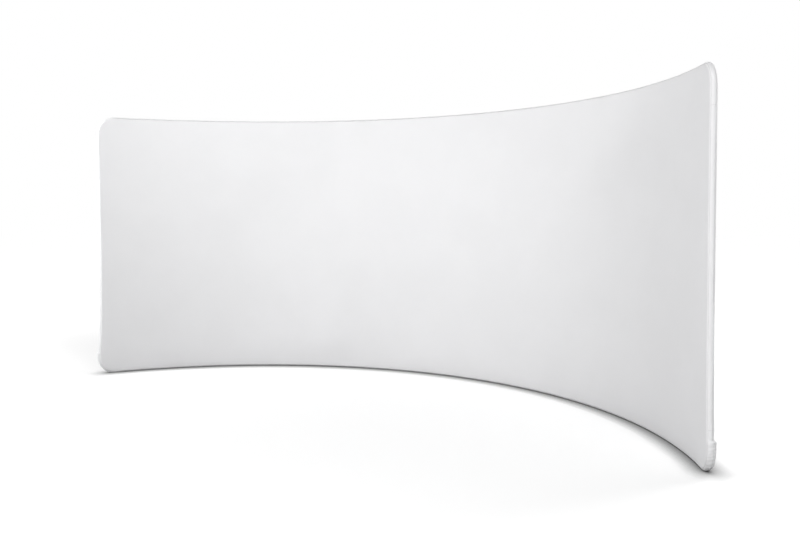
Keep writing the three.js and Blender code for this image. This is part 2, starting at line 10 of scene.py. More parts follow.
import bpy
import numpy as np
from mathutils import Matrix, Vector

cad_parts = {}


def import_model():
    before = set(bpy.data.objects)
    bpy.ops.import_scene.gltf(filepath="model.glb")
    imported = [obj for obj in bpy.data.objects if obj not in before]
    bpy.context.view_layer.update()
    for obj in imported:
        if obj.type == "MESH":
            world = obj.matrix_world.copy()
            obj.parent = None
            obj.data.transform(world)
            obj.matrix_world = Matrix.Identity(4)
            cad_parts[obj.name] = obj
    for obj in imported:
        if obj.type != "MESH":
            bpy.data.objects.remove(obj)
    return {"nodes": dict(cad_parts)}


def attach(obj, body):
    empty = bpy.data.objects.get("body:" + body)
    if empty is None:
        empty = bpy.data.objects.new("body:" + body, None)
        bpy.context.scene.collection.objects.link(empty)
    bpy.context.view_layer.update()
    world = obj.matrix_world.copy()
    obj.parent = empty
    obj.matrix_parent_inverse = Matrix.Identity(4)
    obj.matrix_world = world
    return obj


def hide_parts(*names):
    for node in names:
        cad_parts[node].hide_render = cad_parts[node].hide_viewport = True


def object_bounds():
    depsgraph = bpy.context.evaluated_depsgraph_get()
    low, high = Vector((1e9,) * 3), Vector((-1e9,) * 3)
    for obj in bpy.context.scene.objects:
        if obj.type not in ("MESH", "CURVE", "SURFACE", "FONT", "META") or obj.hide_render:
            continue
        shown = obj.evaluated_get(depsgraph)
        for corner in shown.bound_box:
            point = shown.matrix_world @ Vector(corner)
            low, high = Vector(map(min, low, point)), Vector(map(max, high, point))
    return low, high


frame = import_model()
CAD_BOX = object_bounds()

# ---- Sizes of the wall, as the solids have them ----
BEND_RADIUS = 2.940  # plan radius, to the centreline of the frame
HALF_RUN = 3.250  # along the curve, from the middle to the centreline of an end tube
CORNER_RADIUS = 0.136
ELBOW_LEG = 0.100  # straight leg at each end of a corner bend
END_BOW = 0.014  # how far the cover's pull bows each end tube inwards
BOW_SKEW = 0.6  # under 1, the bow is fullest below the middle
SUPPORT_AT = HALF_RUN / 3  # where the uprights stand, to either side of the middle
ZIP_HEIGHT = 0.050  # centre of the zip above the floor, on the back panel
ZIP_SLOT = 0.012  # opening in the back panel that the zip closes
ZIP_CHAIN_WIDTH = 0.004
ZIP_CHAIN_PROUD = 0.0007  # past the face of the cloth
ZIP_GAP = 0.0003
ZIP_STOP_LENGTH = 0.005
HEIGHT = CAD_BOX[1][2]
COVER_RADIUS = 0.0211  # from a tube's centreline to the face of the cloth
BASE_FLAT = 0.0003  # how far the cover's underside is pressed flat by the floor
FRONT_SEAM = 44.0  # turn at which the front panel meets the edge bands
BACK_SEAM = 120.0  # turn at which the edge bands meet the back panel
LOW = COVER_RADIUS - BASE_FLAT
HIGH = HEIGHT - COVER_RADIUS
MID = (LOW + HIGH) / 2
STRAIGHT_RUN = HALF_RUN - CORNER_RADIUS
RAIL_RUN = STRAIGHT_RUN - ELBOW_LEG
LEG_LOW = LOW + CORNER_RADIUS + ELBOW_LEG
LEG_HIGH = HIGH - CORNER_RADIUS - ELBOW_LEG
CORNER_ARC = CORNER_RADIUS * math.pi / 2
HALF_ANGLE = HALF_RUN / BEND_RADIUS
CENTRE_Y = -(BEND_RADIUS * (1 + math.cos(HALF_ANGLE)) + ZIP_CHAIN_PROUD) / 2
OUTERMOST = 90.0  # turn of the frame's outermost line
BACK_FACE = 180.0  # turn of the back face

# ---- Sizes of the cloth ----
FRONT_SWELL = 0.046  # the front panel stands this far forward at mid-height
BAY_SWELL = 0.016  # and this much further in the left bay
BAY_AT = (-2.15, 1.05)  # where along the run, and how far to each side
RIDGE = 0.026  # the front panel stands out along the left upright, over the lower part of the wall
RIDGE_LEFT = 0.85  # how far the ridge spreads to its two sides
RIDGE_RIGHT = 0.46
RIDGE_CREST = 0.035  # half the width over which the ridge's crest is rounded
RIDGE_FALL = 1.4  # the power by which it falls away to its sides
RIDGE_ROOT = 0.30  # it rises from the bottom rail up to this height
RIDGE_FADE = (0.35 * HEIGHT, 0.80 * HEIGHT)  # and fades out between these
BACK_DRAW = 0.024  # the back panel is drawn in this far between the uprights
BACK_DRAW_AT_SUPPORT = 0.0036  # and this far where it lies on an upright
DRAW_EASE = 0.25  # the share of the half run over which that draw fades out at each end
BACK_RIDGE = 0.0016  # the uprights show through the back panel by this much
BACK_RIDGE_WIDTH = 0.055  # to each side of an upright
DRAW_MARGIN = 0.100  # the back panel is straight this far from the top and bottom
FACET_SAG = 0.0027  # the solids' straight tubes lie this far inside the curve
CLOTH_STEP = 0.025  # spacing of the cloth's grid
CORNER_STEP = 0.0045  # spacing at the bottom corners
SAME_PLACE = 1e-6  # rows of the grid that lie closer than this are one
SEAM_DIP = 0.0013  # the cloth turns in this far at a seam
SEAM_WIDTH = 0.0026  # at this distance from the seam 37% of that dip is left
SEAM_LAP = 0.0004  # the pieces' edges pass one another by this much inside the seam
LAP_TURN = math.degrees(SEAM_LAP / COVER_RADIUS)
# The rows of the cloth's grids round the tube, as turns, and beside a cross seam, as distances from it.
FRONT_TURNS = [5, 10, 15, 20, 25, 30, 34, 37, 39.5, 41.5, 43]
BAND_TURNS = [45, 46.5, 48.5, 51, 54, 58, 63, 68, 73, 77, 81]
BAND_TURNS += [85, 90, 95, 99, 103, 107, 111, 114, 116.5, 118.5, 119.4]
BACK_TURNS = [170, 160, 150, 140, 134, 130, 127, 124, 122]
CROSS_SEAM_STEPS = np.array([-SEAM_LAP, 0.0015, 0.003, 0.0045, 0.006, 0.009, 0.014])

# ---- The gathered cloth at the bottom corners ----
GATHER_TOP = 0.200  # height above the floor where the gathers end
GATHER_SIDE = 0.008  # how far they stand out at the end of the wall
GATHER_BACK = 0.0125  # and at its back
GATHER_SIDE_TURNS = (15, 85)  # they grow to the first over these turns
GATHER_BACK_TURNS = (85, 165)  # and on to the second over these
GATHER_START = (-0.030, 0.075)  # they grow over this stretch of the edge, counted from the bend's start
GATHER_STOP = (-0.012, 0.004)  # and end over this stretch, counted from their top
GATHER_FADE = 0.11  # on the back panel they fade out over this width
PUCKER = 0.0022  # the small waves in the gathers rise and sink by about this much
PUCKER_PITCH = 0.021  # length of a wave along the edge
PUCKER_TURNS = (20, 75)  # the waves grow between these turns
PUCKER_DRIFT = 0.35  # share of a wave by which they wander along the edge
DRIFT_RATE = 61.0
DRIFT_START = 1.3
PUCKER_SLANT = 0.22  # share of a wave by which they wander round the edge
SLANT_RATE = 2.1
SECOND_WAVE = 0.45  # a closer set of waves on top, as shares of the first: its height
SECOND_RATE = 1.73  # how many there are
SECOND_START = 0.4  # and where they start
PUCKER_SWING = 0.25  # share by which the waves' height swings along the edge
SWING_RATE = 83.0

# ---- The zip ----
TAPE_UNDER = 0.0055  # the tapes run on under the back panel's edges by this much
TAPE_DEPTH = 0.0009  # and lie this far under its surface
TAPE_ROWS = np.array([0.0, 0.06, 0.3, 0.65, 1.0])  # shares of the tape's width, from the chain
TAPE_TURN_IN = np.array([-0.0006, 0.0, 0.0, 0.0, -0.0003])  # its rows' offset to the back: the edges turn in
TAPE_HEM = 0.0016  # the tape's stitches are this much nearer its edge than a seam's, and it has no crease and no painted crease shade
CHAIN_PITCH = 0.003
CHAIN_ACROSS = [-1.0, -0.8, -0.35, 0.0, 0.35, 0.8, 1.0]  # rows of points, in half widths of the chain
POINTS_PER_PITCH = 3
CHAIN_SUNK = 0.0006  # the chain's edges lie this far under the cloth's face
TOOTH_RISE = ZIP_CHAIN_PROUD + 0.0005  # and its teeth rise this much from there

# ---- The knit and its stitches ----
COURSE_SHARE = 0.8  # height of a knit loop, as a share of its width
STITCH_PITCH = 0.0032
STITCH_NEAR = (0.0022, 0.0026)  # distances from a seam between which its row of stitches starts
STITCH_FAR = (0.0032, 0.0036)  # and ends
PAINTED_CREASE_SHADE_REACH = 0.0016  # painted shade: a seam's crease is darkened in colour up to this distance
NOISE_MIDDLE = (0.3, 0.7)  # most values of a noise lie between these

# ---- View ----
CAMERA_AT = (3.686, -5.563, 1.470)
CAMERA_YAW = 0.5788  # radians
CAMERA_PITCH = -0.0273
LENS = 37.37  # millimetres, as the sensor's width
SENSOR = 36.0
SHIFT_Y = -0.0424  # share of the sensor's width

# ---- Light ----
AMBIENT = 0.0  # the background lights nothing by itself
FLOOR_SIZE = 80
FLOOR_ALBEDO = 0.55
FLOOR_GLOW = 0.54  # the floor near the wall, as the eye sees it, on top of what the lamps give it
GLOW_FROM_TO = (3.0, 7.0)  # distances from the middle between which the floor turns plain white
PAINTED_SHADE_REACH = 0.14  # painted shade: the floor's colour and glow are darkened this far from the wall's foot
PAINTED_SHADE_DEPTH = 1.6  # the power that makes this painted shade deeper
FOOT_SAMPLES = 8
LAMPS = {
    # name: (place, what it points at, size, watts)
    "left": ((-4.0, -3.6, 2.6), (-0.5, 0.7, 1.2), (1.5, 1.5), 144),
    "front_right": ((6.0, -4.7, 4.0), (-0.5, 0.3, 1.2), (1.4, 1.4), 207),
    "top": ((0.0, -2.6, 4.8), (0.0, 0.8, 1.8), (2.0, 1.0), 48),
    "top_front": ((0.0, -3.0, 5.5), (0.0, 0.0, 0.8), (6.0, 3.0), 9),
    "right_low": ((1.5, -5.0, 1.0), (0.5, 0.6, 0.6), (1.0, 1.0), 62),
    "back_right": ((4.0, 4.0, 4.0), (0.0, 0.0, 0.0), (3.0, 3.0), 265),
    "back_left": ((-4.0, 4.0, 4.0), (0.0, 0.0, 0.0), (3.0, 3.0), 60),
}


# ---- Camera ----
def camera():
    data = bpy.data.cameras.new("camera")
    data.sensor_width = SENSOR
    data.lens = LENS
    data.shift_y = SHIFT_Y
    cam = bpy.data.objects.new("camera", data)
    cam.location = CAMERA_AT
    cam.rotation_euler = (math.pi / 2 + CAMERA_PITCH, 0, CAMERA_YAW)
    bpy.context.scene.collection.objects.link(cam)
    bpy.context.scene.camera = cam


camera()


# ---- Bending the unrolled wall ----
def bend(run, height, offset):
    """Points on the curved wall, as rows of x, y, z."""
    run, height, offset = np.broadcast_arrays(run, height, offset)
    angle = run / BEND_RADIUS
    radius = BEND_RADIUS + offset
    x = radius * np.sin(angle)
    y = CENTRE_Y + radius * np.cos(angle)
    return np.stack([x, y, height], axis=-1)


def past_straight(run):
    return np.clip(np.abs(run) - STRAIGHT_RUN, 0, CORNER_RADIUS)


def bow(run, height):
    """How far the end tubes, and the cloth on them, lean in between the elbows."""
    t = np.clip((height - LEG_LOW) / (LEG_HIGH - LEG_LOW), 0, 1)
    share = past_straight(run) / CORNER_RADIUS
    return -np.sign(run) * END_BOW * np.sin(np.pi * t**BOW_SKEW) * share


def corner_lift(run):
    return CORNER_RADIUS - np.sqrt(CORNER_RADIUS**2 - past_straight(run) ** 2)


def row_height(level, run):
    """The height of a row at a run: the rows near the edges close up over the corner bends."""
    lift = corner_lift(run)
    low = level + lift * (LEG_LOW - level) / (LEG_LOW - LOW)
    high = level - lift * (level - LEG_HIGH) / (HIGH - LEG_HIGH)
    return np.where(level < LEG_LOW, low, np.where(level > LEG_HIGH, high, level))


def bump(x, centre, width):
    """A smooth rise to 1 at the centre, nothing beyond the width."""
    t = np.clip(np.abs(x - centre) / width, 0, 1)
    return (1 - t * t) ** 2


def ease(x, a, b):
    """A smooth rise from 0 at a to 1 at b."""
    t = np.clip((x - a) / (b - a), 0, 1)
    return t * t * (3 - 2 * t)


def front_offset(run, height):
    """The front panel swells forward between the rails, and stands out further along the left upright."""
    u = np.minimum(1, np.abs(run) / HALF_RUN)
    v = (height - MID) / (HIGH - MID)
    swell = FRONT_SWELL * (1 - u**4) * (1 - v * v)
    swell = swell + BAY_SWELL * bump(run, *BAY_AT) * (1 - v * v)
    fade = ease(height, LOW, RIDGE_ROOT) * (1 - ease(height, *RIDGE_FADE))
    spread = np.where(run < -SUPPORT_AT, RIDGE_LEFT, RIDGE_RIGHT)
    from_crest = np.sqrt(((run + SUPPORT_AT) / spread) ** 2 + (RIDGE_CREST / RIDGE_RIGHT) ** 2)
    ridge = RIDGE * (1 - np.clip(from_crest, 0, 1)) ** RIDGE_FALL
    return -ridge * fade - swell


def back_offset(run, height):
    """The back panel is drawn in between the rails, least over the uprights."""
    v = np.clip((height - DRAW_MARGIN) / (HEIGHT - 2 * DRAW_MARGIN), 0, 1)
    u = np.minimum(1, np.abs(run) / HALF_RUN)
    bay = np.where(np.abs(run) < SUPPORT_AT, np.cos(0.5 * np.pi * run / SUPPORT_AT), 0)
    outer = np.clip((np.abs(run) - SUPPORT_AT) / (HALF_RUN - SUPPORT_AT), 0, 1)
    ridge = BACK_RIDGE * bump(np.abs(run), SUPPORT_AT, BACK_RIDGE_WIDTH)
    at_support = BACK_DRAW_AT_SUPPORT * np.minimum(1, (1 - u) / DRAW_EASE)
    draw = at_support + BACK_DRAW * np.maximum(bay, np.sin(np.pi * outer)) ** 2 - ridge
    return -draw * 4 * v * (1 - v)


# ---- The edge of the frame ----
# A place on the edge is a run and a level. The rails and corner bends lie at level LOW or HIGH, and the
# end tubes at run HALF_RUN or -HALF_RUN between them.
def edge_distance(run, level):
    """Distance along the edge from the middle of the bottom or top rail."""
    round_bend = CORNER_RADIUS * np.arcsin(past_straight(run) / CORNER_RADIUS)
    up = np.abs(row_height(level, run) - np.where(level < MID, LOW, HIGH)) - corner_lift(run)
    return np.minimum(np.abs(run), STRAIGHT_RUN) + round_bend + np.maximum(up, 0)


def edge_lean(run, level):
    """Which way is out, in radians: 0 straight down or up at the rails, a right angle at the end tubes."""
    on_end = (level > LOW) & (level < HIGH)
    return np.where(on_end, np.pi / 2, np.arcsin(past_straight(run) / CORNER_RADIUS))


def down_or_up(level):
    """-1 in the lower half of the wall, where the edge faces down, and 1 in the upper half."""
    return np.where(level < MID, -1, 1)


def gathers(run, level, turn, inward=0.0):
    """How far the cloth stands out at the bottom corners, where it is gathered round the bends."""
    along = edge_distance(run, level) - STRAIGHT_RUN
    end = CORNER_ARC + GATHER_TOP - LOW - CORNER_RADIUS
    zone = ease(along, *GATHER_START) * (1 - ease(along, end + GATHER_STOP[0], end + GATHER_STOP[1]))
    zone = zone * (level < MID)
    size = GATHER_SIDE * ease(turn, *GATHER_SIDE_TURNS)
    size = size + (GATHER_BACK - GATHER_SIDE) * ease(turn, *GATHER_BACK_TURNS)
    phase = along / PUCKER_PITCH + PUCKER_DRIFT * np.sin(along * DRIFT_RATE + DRIFT_START)
    phase = phase + PUCKER_SLANT * np.sin(np.radians(turn) * SLANT_RATE)
    wave = np.sin(2 * np.pi * phase)
    wave = wave + SECOND_WAVE * np.sin(2 * np.pi * (SECOND_RATE * phase + SECOND_START))
    swing = 1 - PUCKER_SWING + PUCKER_SWING * np.sin(along * SWING_RATE)
    strength = ease(turn, *PUCKER_TURNS) * PUCKER * swing
    return zone * (size + strength * wave) * (1 - ease(inward, 0.0, GATHER_FADE))


def back_gathers(run, level):
    """The gathers where they run out over the face of the back panel, from the nearest edge inwards."""
    to_end, to_rail = HALF_RUN - np.abs(run), level - LOW
    by_end = to_end < to_rail
    edge_run = np.where(by_end, HALF_RUN, np.abs(run)) * np.sign(run)
    return gathers(edge_run, np.where(by_end, level, LOW), BACK_FACE, np.minimum(to_end, to_rail))


def seam_dip(distance):
    return SEAM_DIP * np.exp(-((distance / SEAM_WIDTH) ** 2))


def wrap(run, level, turn, dip=0.0):
    """The cloth where it wraps the edge of the frame, at places (run, level) and a turn in degrees."""
    angle = np.radians(turn)
    lean = edge_lean(run, level)
    stands = gathers(run, level, turn) - dip
    side_radius = COVER_RADIUS + FACET_SAG * np.sin(lean) + stands
    depth_radius = COVER_RADIUS + FACET_SAG * (np.asarray(turn) < OUTERMOST) + stands
    out = side_radius * np.sin(angle)
    base = row_height(level, run)
    height = base + down_or_up(level) * out * np.cos(lean)
    side = run + bow(run, base) + np.sign(run) * out * np.sin(lean)
    return bend(side, np.maximum(0.0, height), -depth_radius * np.cos(angle))


def knit_place(run, level, turn=None):
    """Where a point lies on its flat cloth: along the wall and up it, carried on round the edge."""
    base = row_height(level, run)
    if turn is None:
        return {"run": run, "up": base, "along": run}
    lean = edge_lean(run, level)
    across = COVER_RADIUS * np.radians(turn)
    return {
        "run": run + np.sign(run) * across * np.sin(lean),
        "up": base + down_or_up(level) * across * np.cos(lean),
        "along": edge_distance(run, level) * np.sign(run),
    }


# ---- Meshes ----
def new_mesh(name, points, faces, material, **values):
    """A smooth piece from its points and faces; values are numbers kept with each point."""
    mesh = bpy.data.meshes.new(name)
    mesh.from_pydata(np.asarray(points, float).reshape(-1, 3).tolist(), [], faces)
    for key, numbers in values.items():
        attribute = mesh.attributes.new(key, "FLOAT", "POINT")
        attribute.data.foreach_set("value", np.asarray(numbers, np.float32).reshape(-1))
    mesh.update()
    mesh.polygons.foreach_set("use_smooth", [True] * len(mesh.polygons))
    piece = bpy.data.objects.new(name, mesh)
    bpy.context.scene.collection.objects.link(piece)
    mesh.materials.append(material)
    return piece


def spaced(a, b, step):
    """Even values from a to b, about one step apart."""
    return np.linspace(a, b, max(2, int(round(abs(b - a) / step)) + 1))


def joined(*parts):
    """Ascending values in one row, without doubles."""
    values = np.sort(np.concatenate(parts))
    return values[np.concatenate([[True], np.diff(values) > SAME_PLACE])]


def strip_faces(rings, closed, flip):
    """Quads between rows of point numbers."""
    faces = []
    for a, b in zip(rings, rings[1:]):
        count = len(a) if closed else len(a) - 1
        for k in range(count):
            n = (k + 1) % len(a)
            quad = [a[k], a[n], b[n], b[k]]
            faces.append(quad[::-1] if flip else quad)
    return faces


def grid_faces(shape, flip):
    """Quads over a whole grid of points, numbered row by row."""
    rows, columns = shape
    return strip_faces(np.arange(rows * columns).reshape(shape).tolist(), closed=False, flip=flip)


# ---- The cover ----
def cloth_runs():
    corner = STRAIGHT_RUN + CORNER_RADIUS * np.sin(spaced(0, CORNER_ARC, CORNER_STEP) / CORNER_RADIUS)
    half = joined(spaced(RAIL_RUN, STRAIGHT_RUN, 2 * CORNER_STEP), corner)
    return joined(-half, spaced(-RAIL_RUN, RAIL_RUN, CLOTH_STEP), half)


def cloth_levels(slot):
    """The grid's levels, for the back panel with a row for the zip's slot."""
    low = spaced(LOW, LEG_LOW, 2 * CORNER_STEP)
    if slot:
        below, above = ZIP_HEIGHT - ZIP_SLOT / 2, ZIP_HEIGHT + ZIP_SLOT / 2
        low = joined(spaced(LOW, below, 2 * CORNER_STEP), spaced(above, LEG_LOW, 2 * CORNER_STEP))
    return joined(low, spaced(LEG_LOW, LEG_HIGH, CLOTH_STEP), spaced(LEG_HIGH, HIGH, CLOTH_STEP))


def round_tube(turn):
    """Length of cloth over this many degrees of a covered tube."""
    return COVER_RADIUS * np.radians(turn)


def face_of_panel(grid, runs, levels, back):
    """The quads of a panel's face, for the back panel without those in the zip's slot."""
    slot_row = int(np.searchsorted(levels, ZIP_HEIGHT)) - 1 if back else -1
    faces = []
    for i in range(len(runs) - 1):
        for j in range(len(levels) - 1):
            if j == slot_row and abs(runs[i] + runs[i + 1]) / 2 < RAIL_RUN:
                continue
            ring = [grid[i, j], grid[i, j + 1], grid[i + 1, j + 1], grid[i + 1, j]]
            faces.append([int(k) for k in (ring if back else ring[::-1])])
    return faces


def rim(columns, rows):
    """The places (column, row) round a grid, each once."""
    edge = [(i, 0) for i in range(columns)]
    edge += [(columns - 1, j) for j in range(1, rows)]
    edge += [(i, rows - 1) for i in range(columns - 2, -1, -1)]
    return edge + [(0, j) for j in range(rows - 2, 0, -1)]


def panel(name, back, material):
    """One panel of the cover: a grid over its face, and rings round it that wrap the tubes to the seam."""
    runs, levels = cloth_runs(), cloth_levels(slot=back)
    run, level = np.meshgrid(runs, levels, indexing="ij")
    heights = row_height(level, run)
    if back:
        depth, offset = COVER_RADIUS, back_offset(run, heights) + back_gathers(run, level)
        face_turn, seam_at, turns = BACK_FACE, BACK_SEAM, [*BACK_TURNS, BACK_SEAM - LAP_TURN]
    else:
        depth, offset = -COVER_RADIUS - FACET_SAG, front_offset(run, heights)
        face_turn, seam_at, turns = 0.0, FRONT_SEAM, [*FRONT_TURNS, FRONT_SEAM + LAP_TURN]
    points = [bend(run + bow(run, heights), heights, depth + offset).reshape(-1, 3)]
    to_seam = round_tube(abs(face_turn - seam_at))
    values = [{"seam": np.full(run.shape, to_seam), **knit_place(run, level)}]
    grid = np.arange(run.size).reshape(run.shape)
    faces = face_of_panel(grid, runs, levels, back)
    edge = rim(*run.shape)
    edge_run = np.array([runs[i] for i, _ in edge])
    edge_level = np.array([levels[j] for _, j in edge])
    rings = [[int(grid[i, j]) for i, j in edge]]
    count = run.size
    for turn in turns:
        away = round_tube(abs(turn - seam_at))
        points.append(wrap(edge_run, edge_level, turn, seam_dip(away)))
        place = knit_place(edge_run, edge_level, abs(turn - face_turn))
        values.append({"seam": np.full(len(edge), away), **place})
        rings.append(list(range(count, count + len(edge))))
        count += len(edge)
    faces += strip_faces(rings, closed=True, flip=not back)
    merged = {key: np.concatenate([v[key].reshape(-1) for v in values]) for key in values[0]}
    return new_mesh(name, np.concatenate(points), faces, material, **merged)


def band(name, runs, levels, ends, material):
    """A strip of the edge band through places (run, level), with a cross seam at its ends."""
    turns = np.array([FRONT_SEAM - LAP_TURN, *BAND_TURNS, BACK_SEAM + LAP_TURN])
    run, turn = np.meshgrid(runs, turns, indexing="ij")
    level, _ = np.meshgrid(levels, turns, indexing="ij")
    across = round_tube(np.minimum(np.abs(turn - FRONT_SEAM), np.abs(turn - BACK_SEAM)))
    to_end = np.min([np.abs(row_height(level, run) - end) for end in ends], axis=0)
    points = wrap(run, level, turn, np.maximum(seam_dip(across), seam_dip(to_end)))
    values = {"seam": np.minimum(across, to_end), **knit_place(run, level, turn)}
    return new_mesh(name, points, grid_faces(run.shape, flip=True), material, **values)


def rail_band(rail, material):
    """The top or bottom strip turns both corners and ends on the end tubes."""
    step = CORNER_STEP if rail == "bottom" else 2 * CORNER_STEP
    steps = [CROSS_SEAM_STEPS, spaced(CROSS_SEAM_STEPS[-1] + step, ELBOW_LEG - step, step)]
    below = np.concatenate(steps)
    stretch = np.where(below > 0, (LEG_LOW - LOW) / ELBOW_LEG, 1)
    leg = LEG_LOW - below * stretch  # rows close up over the bend, so they lie wider apart as levels
    runs = cloth_runs()
    all_runs = np.concatenate([np.full(len(leg), -HALF_RUN), runs, np.full(len(leg), HALF_RUN)])
    all_levels = np.concatenate([leg, np.full(len(runs), LOW), leg[::-1]])
    if rail == "top":
        all_levels = LOW + HIGH - all_levels
    return band(f"{rail}_band", all_runs, all_levels, [LEG_LOW if rail == "bottom" else LEG_HIGH], material)


def end_band(side, material):
    """The strip along the left or right end tube, between its cross seams."""
    way = -1 if side == "left" else 1
    first = LEG_LOW + CROSS_SEAM_STEPS[-1] + CLOTH_STEP
    last = LEG_HIGH - CROSS_SEAM_STEPS[-1] - CLOTH_STEP
    inner = spaced(first, last, CLOTH_STEP)
    levels = np.concatenate([LEG_LOW + CROSS_SEAM_STEPS, inner, (LEG_HIGH - CROSS_SEAM_STEPS)[::-1]])
    if side == "right":
        levels = levels[::-1]
    return band(f"{side}_band", np.full(len(levels), way * HALF_RUN), levels, [LEG_LOW, LEG_HIGH], material)


# ---- The zip's pieces ----
def zip_tape(name, near, far, material):
    """A tape between two heights, on the true curve, from its edge by the chain to its edge inside."""
    runs = spaced(-RAIL_RUN + ZIP_GAP, RAIL_RUN - ZIP_GAP, CLOTH_STEP / 2)
    run, height = np.meshgrid(runs, near + (far - near) * TAPE_ROWS, indexing="ij")
    points = bend(run, height, COVER_RADIUS - TAPE_DEPTH + TAPE_TURN_IN)
    values = {"run": run, "up": height, "along": run, "seam": np.abs(height - near) + TAPE_HEM}
    return new_mesh(name, points, grid_faces(run.shape, flip=far > near), material, **values)


def zip_chain(material):
    """Two rows of coil teeth that mesh in the middle of the chain."""
    end = RAIL_RUN - 2 * ZIP_GAP - ZIP_STOP_LENGTH
    count = int(round(2 * end / CHAIN_PITCH)) * POINTS_PER_PITCH
    run, side = np.meshgrid(np.linspace(-end, end, count + 1), CHAIN_ACROSS, indexing="ij")
    phase = 2 * np.pi * run / CHAIN_PITCH
    rows = 0.5 + 0.5 * np.cos(phase - np.pi * (side > 0))
    middle = 0.75 + 0.25 * np.cos(2 * phase)
    crown = np.where(side == 0, middle, rows) * (1 - np.abs(side) ** 6)
    depth = COVER_RADIUS - CHAIN_SUNK + TOOTH_RISE * crown
    points = bend(run, ZIP_HEIGHT + side * ZIP_CHAIN_WIDTH / 2, depth)
    return new_mesh("zip_coil", points, grid_faces(run.shape, flip=True), material)


# ---- Materials ----
class Shader:
    """A node material with short calls for the sums that its pattern needs."""

    def __init__(self, name, color, roughness, metallic=0.0):
        self.material = bpy.data.materials.new(name)
        self.material.use_nodes = True
        self.nodes = self.material.node_tree.nodes
        self.links = self.material.node_tree.links
        self.main = self.nodes["Principled BSDF"]
        self.color = color
        self.main.inputs["Base Color"].default_value = (*color, 1)
        self.main.inputs["Roughness"].default_value = roughness
        self.main.inputs["Metallic"].default_value = metallic

    def feed(self, value, socket):
        if isinstance(value, (int, float)):
            socket.default_value = value
        else:
            self.links.new(value, socket)

    def math(self, operation, *values):
        node = self.nodes.new("ShaderNodeMath")
        node.operation = operation
        for value, socket in zip(values, node.inputs):
            self.feed(value, socket)
        return node.outputs[0]

    def plus(self, a, b):
        return self.math("ADD", a, b)

    def times(self, a, b):
        return self.math("MULTIPLY", a, b)

    def number(self, name):
        """A number that the mesh keeps with each point."""
        node = self.nodes.new("ShaderNodeAttribute")
        node.attribute_name = name
        return node.outputs["Fac"]

    def place(self):
        return self.nodes.new("ShaderNodeTexCoord").outputs["Object"]

    def noise(self, scale, detail=3.0, stretch=(1, 1, 1)):
        mapping = self.nodes.new("ShaderNodeMapping")
        mapping.inputs["Scale"].default_value = stretch
        self.links.new(self.place(), mapping.inputs["Vector"])
        node = self.nodes.new("ShaderNodeTexNoise")
        node.inputs["Scale"].default_value = scale
        node.inputs["Detail"].default_value = detail
        self.links.new(mapping.outputs["Vector"], node.inputs["Vector"])
        return node.outputs["Fac"]

    def ramp(self, value, low, high, out_low=0.0, out_high=1.0):
        node = self.nodes.new("ShaderNodeMapRange")
        node.interpolation_type = "SMOOTHSTEP"
        self.feed(value, node.inputs["Value"])
        for key, number in zip(("From Min", "From Max", "To Min", "To Max"), (low, high, out_low, out_high)):
            node.inputs[key].default_value = number
        return node.outputs["Result"]

    def vary(self, noise, low, high):
        """A noise, spread over the values from low to high."""
        return self.ramp(noise, *NOISE_MIDDLE, low, high)

    def tint(self, factor):
        """Multiplies the base colour by a factor."""
        node = self.nodes.new("ShaderNodeVectorMath")
        node.operation = "SCALE"
        node.inputs[0].default_value = self.color
        self.feed(factor, node.inputs["Scale"])
        self.links.new(node.outputs["Vector"], self.main.inputs["Base Color"])

    def roughness(self, value):
        self.links.new(value, self.main.inputs["Roughness"])

    def bump(self, height, distance, strength):
        node = self.nodes.new("ShaderNodeBump")
        node.inputs["Distance"].default_value = distance
        node.inputs["Strength"].default_value = strength
        self.links.new(height, node.inputs["Height"])
        self.links.new(node.outputs["Normal"], self.main.inputs["Normal"])


def cloth_material(name, color, wale):
    """White knitted polyester: columns of knit loops, a soft sheen, stitches beside the seams, and painted
    shade in their creases.
    """
    s = Shader(name, color, 0.8)
    s.main.inputs["Sheen Weight"].default_value = 0.12
    s.main.inputs["Sheen Roughness"].default_value = 0.45
    s.main.inputs["Specular IOR Level"].default_value = 0.2
    run, up, seam, along = (s.number(key) for key in ("run", "up", "seam", "along"))
    wales = s.math("SINE", s.times(run, 2 * math.pi / wale))
    courses = s.math("SINE", s.plus(s.times(up, 2 * math.pi / (COURSE_SHARE * wale)), wales))
    fibre = s.noise(900.0, 4.0)
    knit = s.plus(s.plus(s.times(wales, 0.30), s.times(courses, 0.22)), fibre)
    dash = s.ramp(s.math("SINE", s.times(along, 2 * math.pi / STITCH_PITCH)), -0.5, -0.1)
    row = s.times(s.ramp(seam, *STITCH_NEAR), s.ramp(seam, *STITCH_FAR, 1.0, 0.0))
    stitch = s.times(dash, row)
    s.bump(s.plus(knit, s.times(stitch, 3.0)), 0.00012, 0.5)
    # painted shade: the base colour darkens towards a seam, on top of the dip that the cloth's shape has
    # there
    painted_crease_shade = s.ramp(seam, 0.0, PAINTED_CREASE_SHADE_REACH, 0.72, 1.0)
    mottle = s.vary(s.noise(2.4), 0.982, 1.0)
    speckle = s.vary(fibre, 0.985, 1.0)
    s.tint(s.times(s.times(painted_crease_shade, mottle), speckle))
    return s.material


def coil_material():
    """White nylon monofilament."""
    s = Shader("zip_coil_nylon", (0.80, 0.80, 0.80), 0.45)
    s.bump(s.noise(2500.0, 2.0), 0.00005, 0.3)
    s.tint(s.vary(s.noise(60.0, 2.0), 0.96, 1.0))
    return s.material


def tube_material():
    """Satin anodised aluminium with fine lines along the tubes and faint handling marks."""
    s = Shader("tube_satin", (0.70, 0.71, 0.73), 0.35, 1.0)
    lines = s.noise(60.0, 5.0, (4, 4, 30))
    marks = s.ramp(s.noise(9.0, 4.0), 0.52, 0.62)
    s.roughness(s.plus(s.vary(lines, 0.28, 0.38), s.times(marks, 0.10)))
    s.tint(s.vary(lines, 0.94, 1.0))
    s.bump(lines, 0.00004, 0.2)
    return s.material


